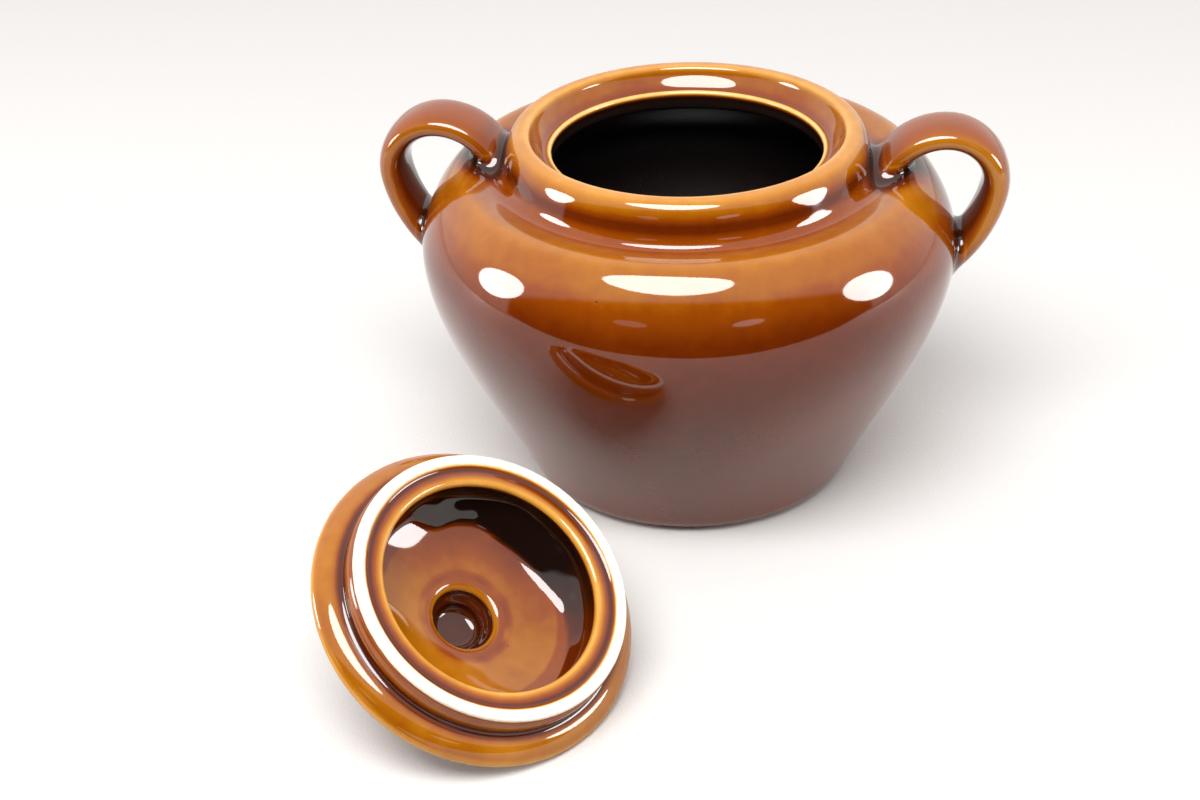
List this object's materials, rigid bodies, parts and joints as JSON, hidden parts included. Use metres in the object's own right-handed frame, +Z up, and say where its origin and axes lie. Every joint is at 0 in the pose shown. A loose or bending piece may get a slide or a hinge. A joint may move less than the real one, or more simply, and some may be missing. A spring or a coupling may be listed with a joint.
{
  "type": "stoneware bean pot",
  "caption": "Round-shouldered glazed stoneware pot with two ear handles and a loose knobbed lid lying upside down beside it.",
  "frame": {"origin": "middle of the flat foot that the pot stands on", "axes": "+Z up along the pot's axis through the mouth, +X towards the right handle (which lies 3 degrees off it), -Y towards the side where the lid lies"},
  "size_m": [0.2474, 0.313, 0.146],
  "materials": {
    "amber_glaze": "high gloss amber-brown glaze over pale stoneware; bare clay on the foot and on the lid's ring"
  },
  "bodies": {
    "pot": {"pot_body": "amber_glaze", "left_handle": "amber_glaze", "right_handle": "amber_glaze"},
    "lid": {"lid": "amber_glaze"}
  },
  "joints": [
    {"name": "lid_lift", "type": "slide", "parent": "pot", "child": "lid", "axis": [0, 0, 1], "range_m": [0, 0.15]}
  ]
}
